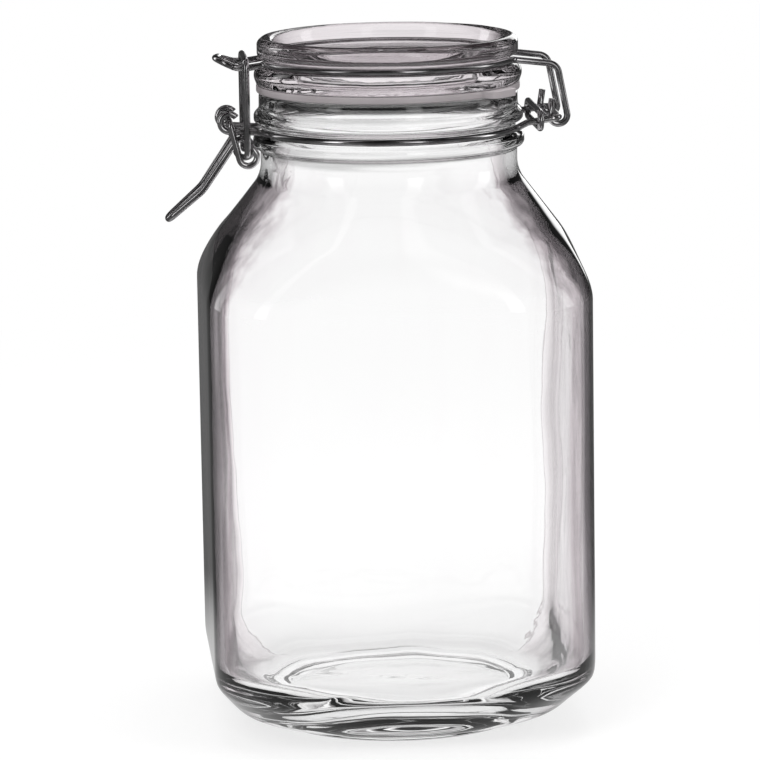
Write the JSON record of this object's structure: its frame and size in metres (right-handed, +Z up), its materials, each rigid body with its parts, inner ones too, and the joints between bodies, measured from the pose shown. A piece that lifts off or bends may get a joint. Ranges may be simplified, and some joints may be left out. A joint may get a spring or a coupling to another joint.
{
  "type": "clip-top jar",
  "caption": "Tall empty square glass storage jar with rounded corners, a hinged glass lid, a flat rubber seal and a wire clip closure.",
  "frame": {"origin": "centre of the flat ring the jar stands on, on the neck's axis", "axes": "+Z up along the neck's axis, +X towards the hinge, -X towards the latch, flat sides facing +-X and +-Y"},
  "size_m": [0.1527, 0.14, 0.2532],
  "materials": {
    "glass": "gloss",
    "wire": "polished",
    "seal": "satin"
  },
  "bodies": {
    "jar": {"jar_body": "glass", "neck_wire": "wire", "tie_ring": "wire"},
    "lid": {"lid_glass": "glass", "lid_wire": "wire", "seal": "seal"},
    "lever": {"lever": "wire"},
    "link": {"link": "wire"}
  },
  "joints": [
    {"name": "lid_hinge", "type": "hinge", "parent": "jar", "child": "lid", "pos_m": [0.061, 0, 0.2233], "axis": [0, 1, 0], "range_deg": [0, 180]},
    {"name": "lever_pivot", "type": "hinge", "parent": "jar", "child": "lever", "pos_m": [-0.0589, 0, 0.2239], "axis": [0, 1, 0], "range_deg": [0, 130], "deforming": ["link"]},
    {"name": "link_pivot", "type": "hinge", "parent": "lever", "child": "link", "pos_m": [-0.0527, 0, 0.2114], "axis": [0, 1, 0], "range_deg": [-110, 0]}
  ],
  "couplings": [
    {"joint": "link_pivot", "follows": "lever_pivot", "ratio": -0.8}
  ]
}
